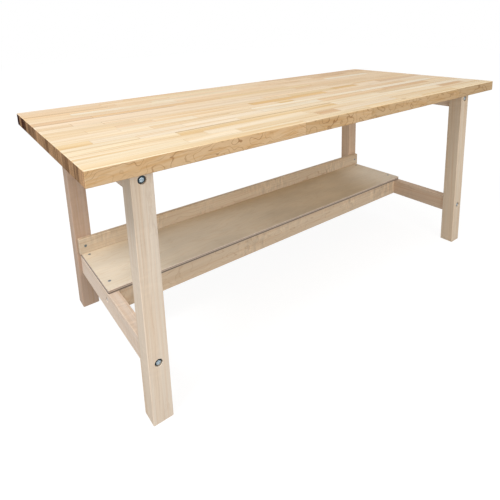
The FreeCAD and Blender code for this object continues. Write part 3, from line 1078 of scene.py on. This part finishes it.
def part_at(bm, faces, axis, value):
    """Parts faces along a plane across an axis."""
    normal = Vector([float(i == axis) for i in range(3)])
    edges = {edge for face in faces for edge in face.edges}
    verts = {vert for face in faces for vert in face.verts}
    geom = [*verts, *edges, *faces]
    bmesh.ops.bisect_plane(bm, geom=geom, dist=TOUCH, plane_co=normal * value, plane_no=normal)


def stave_at(rectangles, point):
    """The number of the stave that holds a point."""
    for number, rectangle in enumerate(rectangles):
        if covers(rectangle, point):
            return number
    raise ValueError(f"no stave holds {point}")


# ---- Frame, shelf and back board


def middle(node):
    """The middle of a node's box."""
    low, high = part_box(node)
    return (low + high) / 2


def outer_face(node, axis):
    """Where a piece's outer face lies on an axis, and the direction inwards from there."""
    low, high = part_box(node)
    return (low[axis], 1) if low[axis] < 0 else (high[axis], -1)


def leg_spot(leg_node, screws, depth):
    """The place of a coach screw at a depth in a leg, and its direction."""
    outer_y, inward = outer_face(leg_node, 1)
    place = Vector((middle(leg_node).x, outer_y + inward * depth, middle(screws).z))
    return place, Vector((0, inward, 0))


def stretcher_spot(rail, depth):
    """The place of a stretcher's screw at a depth in a lower rail, and its direction."""
    outer_x, inward = outer_face(rail, 0)
    height = middle("stretcher_screws").z
    place = Vector((outer_x + inward * depth, middle("front_stretcher").y, height))
    return place, Vector((inward, 0, 0))


def worktop_spots(rail, depth):
    """The places of the worktop's screws at a depth in an upper rail, and their direction."""
    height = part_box(rail)[0].z + depth
    x = middle(rail).x
    return [(Vector((x, y, height)), Vector((0, 0, 1))) for y in WORKTOP_SCREW_PLACES]


def finish_frame_piece(piece, board, axis, node):
    dress(piece, node, board, axis, axis, FRAME_WOOD, FRAME_END_GRAIN)
    settle_in(piece, node)


def leg(node, number):
    """A leg with its two bores."""
    low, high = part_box(node)
    bm = rounded_box(low, high, LEG_EDGE_RADIUS, "Z", FOOT_CHAMFER)
    piece = as_object(node + "_post", bm)
    for screws in LEG_SCREWS:
        bore(piece, *leg_spot(node, screws, 0.0), *LEG_BORE)
    smoothed(piece)
    chance = random.Random(LEG_SEED + number)
    board = Board(
        LEG_GRAIN_SEED + number,
        LEG_TINTS[node],
        (chance.uniform(-0.09, 0.09), chance.choice((-1, 1)) * chance.uniform(0.05, 0.10)),
        **LEG_GRAIN,
    )
    finish_frame_piece(piece, board, "Z", node)


def end_rail(node, number):
    """A rail between a front and a rear leg, with its bores."""
    low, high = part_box(node)
    piece = as_object(node + "_bar", rounded_box(low, high, RAIL_EDGE_RADIUS, "Y", ARRIS))
    if node in LOWER_RAILS:
        bore(piece, *stretcher_spot(node, 0.0), *RAIL_BORE)
    else:
        for place, direction in worktop_spots(node, 0.0):
            bore(piece, place, direction, *WORKTOP_SCREW_BORE)
    smoothed(piece)
    pith = (-0.05 * outer_face(node, 0)[1], 0.03)
    board = Board(RAIL_GRAIN_SEED + number, RAIL_TINTS[node], pith, **RAIL_GRAIN)
    finish_frame_piece(piece, board, "Y", node)


def front_stretcher():
    low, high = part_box("front_stretcher")
    bm = rounded_box(low, high, RAIL_EDGE_RADIUS, "X", ARRIS)
    piece = smoothed(as_object("front_stretcher_bar", bm))
    board = Board(STRETCHER_GRAIN_SEED, STRETCHER_TINT, (0.085, 0.02), **STRETCHER_GRAIN)
    finish_frame_piece(piece, board, "X", "front_stretcher")


def back_board():
    low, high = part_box("back_board")
    piece = as_object("back_board_plank", rounded_box(low, high, BOARD_EDGE_RADIUS))
    for place, direction in back_board_screw_spots():
        countersink(piece, place, direction)
    smoothed(piece)
    board = Board(BACK_BOARD_GRAIN_SEED, BACK_BOARD_TINT, (0.07, -0.03), **BACK_BOARD_GRAIN)
    finish_frame_piece(piece, board, "X", "back_board")


def shelf():
    low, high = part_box("shelf")
    piece = as_object("plywood_shelf", rounded_box(low, high, SHELF_CORNER_RADIUS, "Z", ARRIS))
    for place, direction in shelf_screw_spots() + edge_screw_spots():
        countersink(piece, place, direction)
    smoothed(piece)
    board = Board(SHELF_GRAIN_SEED, PLYWOOD_TINT, (0.0, 0.0), drift=0.0)
    dress(piece, "shelf", board, "X", "Z", PLYWOOD_EDGE, PLYWOOD_FACE)
    settle_in(piece, "shelf")


# ---- Fasteners in their places


def shelf_screw_spots():
    low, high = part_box("shelf_screws")
    head = WOOD_SCREW_HEAD / 2
    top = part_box("shelf")[1].z
    columns = (low.x + head, high.x - head)
    rows = (low.y + head, high.y - head)
    return [(Vector((x, y, top)), Vector((0, 0, -1))) for x in columns for y in rows]


def back_board_screw_spots():
    low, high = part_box("back_board_screws")
    head = WOOD_SCREW_HEAD / 2
    height = middle("back_board_screws").z
    columns = (low.x + head, high.x - head)
    return [(Vector((x, low.y, height)), Vector((0, 1, 0))) for x in columns]


def edge_screw_spots():
    low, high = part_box("shelf_edge_screws")
    head = WOOD_SCREW_HEAD / 2
    first = low.x + head
    step = (high.x - head - first) / (EDGE_SCREW_COUNT - 1)
    y = middle("shelf_edge_screws").y
    columns = [first + i * step for i in range(EDGE_SCREW_COUNT)]
    return [(Vector((x, y, low.z)), Vector((0, 0, 1))) for x in columns]


def coach_screws(node, spots, length, washer_size):
    """Washers at the spots and hexagon screws on them, in place of one pair of CAD nodes."""
    heads = [(place - direction * washer_size[1], direction) for place, direction in spots]
    scattered(node, lambda: hexagon_head_screw(length), heads, ZINC)
    scattered(node.replace("screws", "washers"), lambda: washer(*washer_size), spots, SHADED_ZINC)


def wood_screws(node, spots, length):
    scattered(node, lambda: countersunk_screw(length), spots, GREY_ZINC)


def fasteners():
    """All screws. Coach screws bear on the bottoms of their bores."""
    for node in LEG_SCREWS:
        spots = [leg_spot(leg_node, node, LEG_BORE[1]) for leg_node in LEG_TINTS]
        coach_screws(node, spots, LEG_SCREW_LENGTH, LEG_WASHER)
    spots = [stretcher_spot(rail, RAIL_BORE[1]) for rail in LOWER_RAILS]
    coach_screws("stretcher_screws", spots, STRETCHER_SCREW_LENGTH, RAIL_WASHER)
    spots = [spot for rail in UPPER_RAILS for spot in worktop_spots(rail, WORKTOP_SCREW_BORE[1])]
    coach_screws("worktop_screws", spots, WORKTOP_SCREW_LENGTH, RAIL_WASHER)
    wood_screws("shelf_screws", shelf_screw_spots(), SHELF_SCREW_LENGTH)
    wood_screws("back_board_screws", back_board_screw_spots(), BOARD_SCREW_LENGTH)
    wood_screws("shelf_edge_screws", edge_screw_spots(), EDGE_SCREW_LENGTH)


def dowels():
    """The CAD dowels stay, with wood of their own."""
    wood = dowel_wood()
    for node in ("upper_rail_dowels", "lower_rail_dowels", "stretcher_dowels"):
        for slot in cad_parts[node].material_slots:
            slot.material = wood


# ---- Stage, light and camera


def floor_material():
    """Pale where light bounces off it. Where it is seen, white with the table's faint shadow."""
    graph = Graph.of_material("floor")
    pale = graph.node("BsdfDiffuse", {"Color": FLOOR_TINT}).outputs[0]
    shade = graph.node("BsdfDiffuse", {"Color": FLOOR_SHADE}).outputs[0]
    glow = graph.node("Emission", {"Color": WHITE, "Strength": FLOOR_GLOW}).outputs[0]
    white = graph.node("AddShader", {0: glow, 1: shade}).outputs[0]
    mixed = graph.node("MixShader", {0: graph.seen(), 1: pale, 2: white})
    return graph.ended(mixed.outputs[0])


def floor():
    bm = bmesh.new()
    bmesh.ops.create_grid(bm, x_segments=8, y_segments=8, size=FLOOR_HALF_SIZE)
    piece = as_object("floor", bm)
    piece.data.materials.append(floor_material())


def sky():
    """An even pale sky, white where it is seen."""
    graph = Graph(bpy.data.worlds.new("sky"))
    inputs = {"Value": graph.seen(), "To Min": SKY_STRENGTH, "To Max": 1.0}
    strength = graph.node("MapRange", inputs).outputs["Result"]
    background = graph.node("Background", {"Color": WHITE, "Strength": strength})
    bpy.context.scene.world = graph.ended(background.outputs[0], "OutputWorld")


def softbox(name, place, size, power):
    """A wide square lamp that faces the table."""
    light = bpy.data.lights.new(name, "AREA")
    light.shape = "SQUARE"
    light.size = size
    light.energy = power
    lamp = bpy.data.objects.new(name, light)
    lamp.matrix_world = aimed(place, place - LIT_POINT)
    bpy.context.scene.collection.objects.link(lamp)


def camera():
    """The photograph's view. Yaw turns it to the right, pitch down and roll to the left."""
    data = bpy.data.cameras.new("camera")
    data.lens = CAMERA_LENS
    data.sensor_width = CAMERA_SENSOR
    data.shift_x, data.shift_y = CAMERA_SHIFT
    yaw = Matrix.Rotation(-CAMERA_YAW, 4, "Z")
    pitch = Matrix.Rotation(math.pi / 2 - CAMERA_PITCH, 4, "X")
    roll = Matrix.Rotation(CAMERA_ROLL, 4, "Z")
    made = bpy.data.objects.new("camera", data)
    made.matrix_world = Matrix.Translation(CAMERA_PLACE) @ yaw @ pitch @ roll
    bpy.context.scene.collection.objects.link(made)
    bpy.context.scene.camera = made


WORKTOP_WOOD = worktop_wood()
WORKTOP_END_GRAIN = worktop_end_grain()
FRAME_WOOD = frame_wood()
FRAME_END_GRAIN = frame_end_grain()
PLYWOOD_FACE = plywood_face()
PLYWOOD_EDGE = plywood_edge()
ZINC = zinc("zinc", srgb(128, 144, 154), srgb(186, 200, 208), 0.30)
# The washers' zinc is a darker copy of the heads' zinc: a painted shade of their bores
SHADED_ZINC = zinc("shaded_zinc", srgb(40, 50, 56), srgb(72, 84, 92), 0.34)
GREY_ZINC = zinc("grey_zinc", srgb(104, 114, 120), srgb(160, 170, 176), 0.30)

camera()
worktop()
for number, name in enumerate(LEG_TINTS):
    leg(name, number)
for number, name in enumerate(RAIL_TINTS):
    end_rail(name, number)
front_stretcher()
shelf()
back_board()
fasteners()
dowels()
floor()
sky()
softbox("key", *KEY_LAMP)
softbox("front", *FRONT_LAMP)
bpy.context.scene.view_settings.view_transform = "Standard"
